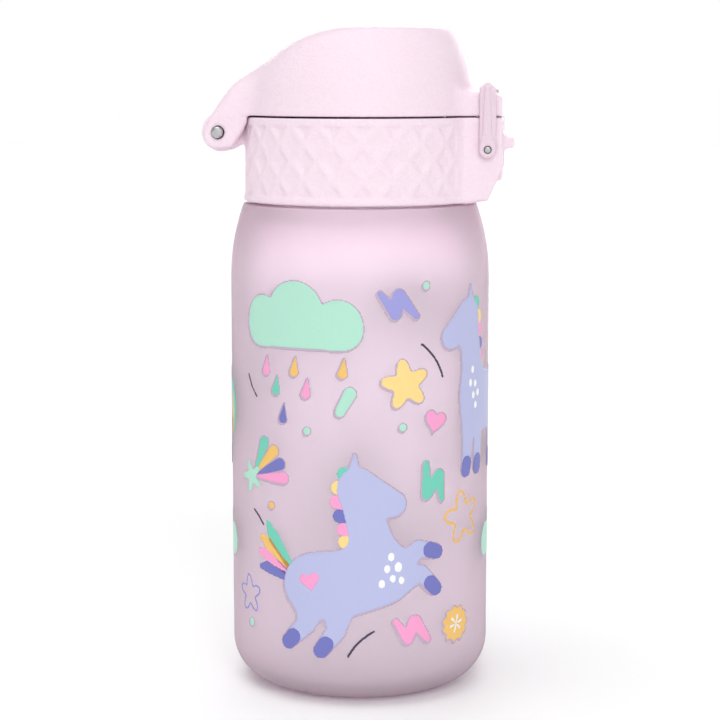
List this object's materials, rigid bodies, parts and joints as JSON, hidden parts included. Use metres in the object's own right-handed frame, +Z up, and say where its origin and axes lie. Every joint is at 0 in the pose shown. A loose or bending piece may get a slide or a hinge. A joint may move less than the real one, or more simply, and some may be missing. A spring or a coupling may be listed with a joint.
{
  "type": "water bottle",
  "caption": "Child's flip-top water bottle: translucent body, screw lid with drinking spout, sprung flip cap, push-button latch and swinging lock bail.",
  "frame": {"origin": "middle of the bottle's base, on the surface it stands on", "axes": "+Z up the bottle's axis, +X towards the button latch, -X towards the cap's hinge, +Y across"},
  "size_m": [0.0777, 0.065, 0.1646],
  "materials": {
    "body_plastic": "clear copolyester tinted pink, frosted from inside",
    "lid_plastic": "pale pink moulded polypropylene with a fine grain",
    "spout_plastic": "off-white moulded polypropylene, satin",
    "silicone": "translucent white silicone",
    "steel": "stainless steel wire and pins"
  },
  "bodies": {
    "bottle": {"bottle_body": "body_plastic"},
    "seal_ring": {"neck_seal": "silicone"},
    "lid": {"collar": "lid_plastic", "drinking_spout": "spout_plastic", "spout_seal": "silicone", "air_valve": "silicone", "hinge_pin": "steel", "hinge_spring": "steel", "button_spring": "steel", "latch_pin": "steel"},
    "cap": {"flip_cap": "lid_plastic", "plug_holder": "lid_plastic", "spout_plug": "silicone"},
    "button": {"latch_button": "lid_plastic"},
    "bail": {"lock_bail": "lid_plastic"}
  },
  "joints": [
    {"name": "lid_lift", "type": "slide", "parent": "bottle", "child": "seal_ring", "axis": [0, 0, 1], "range_m": [0, 0.008]},
    {"name": "lid_screw", "type": "hinge", "parent": "seal_ring", "child": "lid", "pos_m": [0, 0, 0.13], "axis": [0, 0, 1], "range_deg": [0, 720]},
    {"name": "cap_hinge", "type": "hinge", "parent": "lid", "child": "cap", "pos_m": [-0.03415, 0, 0.1393], "axis": [0, -1, 0], "range_deg": [0, 120], "deforming": ["hinge_spring"]},
    {"name": "button_rock", "type": "hinge", "parent": "lid", "child": "button", "pos_m": [0.0332, 0, 0.1294], "axis": [0, -1, 0], "range_deg": [0, 4.3], "stiffness_Nm_per_rad": 0.4, "springref_deg": -2.86, "deforming": ["button_spring"]},
    {"name": "bail_swing", "type": "hinge", "parent": "lid", "child": "bail", "pos_m": [0.0323, 0, 0.1353], "axis": [0, 1, 0], "range_deg": [0, 165]}
  ],
  "couplings": [
    {"joint": "lid_lift", "follows": "lid_screw", "m_per_rad": 0.0006366}
  ]
}
